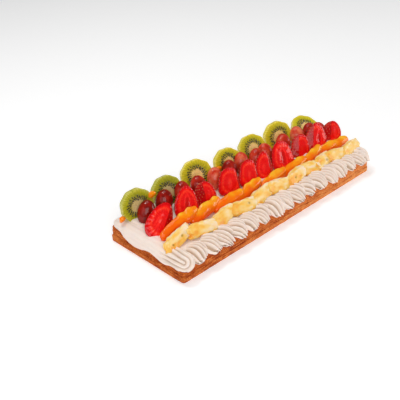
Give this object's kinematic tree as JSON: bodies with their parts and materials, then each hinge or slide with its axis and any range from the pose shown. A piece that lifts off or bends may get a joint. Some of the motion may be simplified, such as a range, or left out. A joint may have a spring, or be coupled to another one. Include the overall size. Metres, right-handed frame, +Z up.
{
  "type": "fruit puff pastry cake",
  "caption": "Long rectangular cake: a puff pastry slab with piped cream borders and leaning rows of kiwi, grape, strawberry, peach and pineapple.",
  "frame": {"origin": "centre of the rectangle on which the pastry slab rests", "axes": "+X along the cake towards its far short end, -Y is the front long side with the lowest row of fruit, +Z up"},
  "size_m": [0.4111, 0.1515, 0.0744],
  "materials": {
    "pastry": "baked, flaky",
    "cream": "smooth whipped cream",
    "kiwi": "moist and glazed",
    "grape": "moist and glazed",
    "strawberry": "moist and glazed",
    "peach": "moist and glazed",
    "pineapple": "moist and glazed"
  },
  "bodies": {
    "root": {"cream_bed": "cream", "cream_rope_far": "cream", "cream_rope_near": "cream", "cream_shells_back": "cream", "cream_shells_front": "cream", "grape_1": "grape", "grape_10": "grape", "grape_11": "grape", "grape_12": "grape", "grape_13": "grape", "grape_2": "grape", "grape_3": "grape", "grape_4": "grape", "grape_5": "grape", "grape_6": "grape", "grape_7": "grape", "grape_8": "grape", "grape_9": "grape", "kiwi_1": "kiwi", "kiwi_2": "kiwi", "kiwi_3": "kiwi", "kiwi_4": "kiwi", "kiwi_5": "kiwi", "kiwi_6": "kiwi", "kiwi_7": "kiwi", "pastry_base": "pastry", "peach_1": "peach", "peach_2": "peach", "peach_3": "peach", "peach_4": "peach", "peach_5": "peach", "peach_6": "peach", "peach_7": "peach", "peach_8": "peach", "pineapple_1": "pineapple", "pineapple_10": "pineapple", "pineapple_11": "pineapple", "pineapple_2": "pineapple", "pineapple_3": "pineapple", "pineapple_4": "pineapple", "pineapple_5": "pineapple", "pineapple_6": "pineapple", "pineapple_7": "pineapple", "pineapple_8": "pineapple", "pineapple_9": "pineapple", "strawberry_1": "strawberry", "strawberry_10": "strawberry", "strawberry_2": "strawberry", "strawberry_3": "strawberry", "strawberry_4": "strawberry", "strawberry_5": "strawberry", "strawberry_6": "strawberry", "strawberry_7": "strawberry", "strawberry_8": "strawberry", "strawberry_9": "strawberry"}
  },
  "joints": []
}
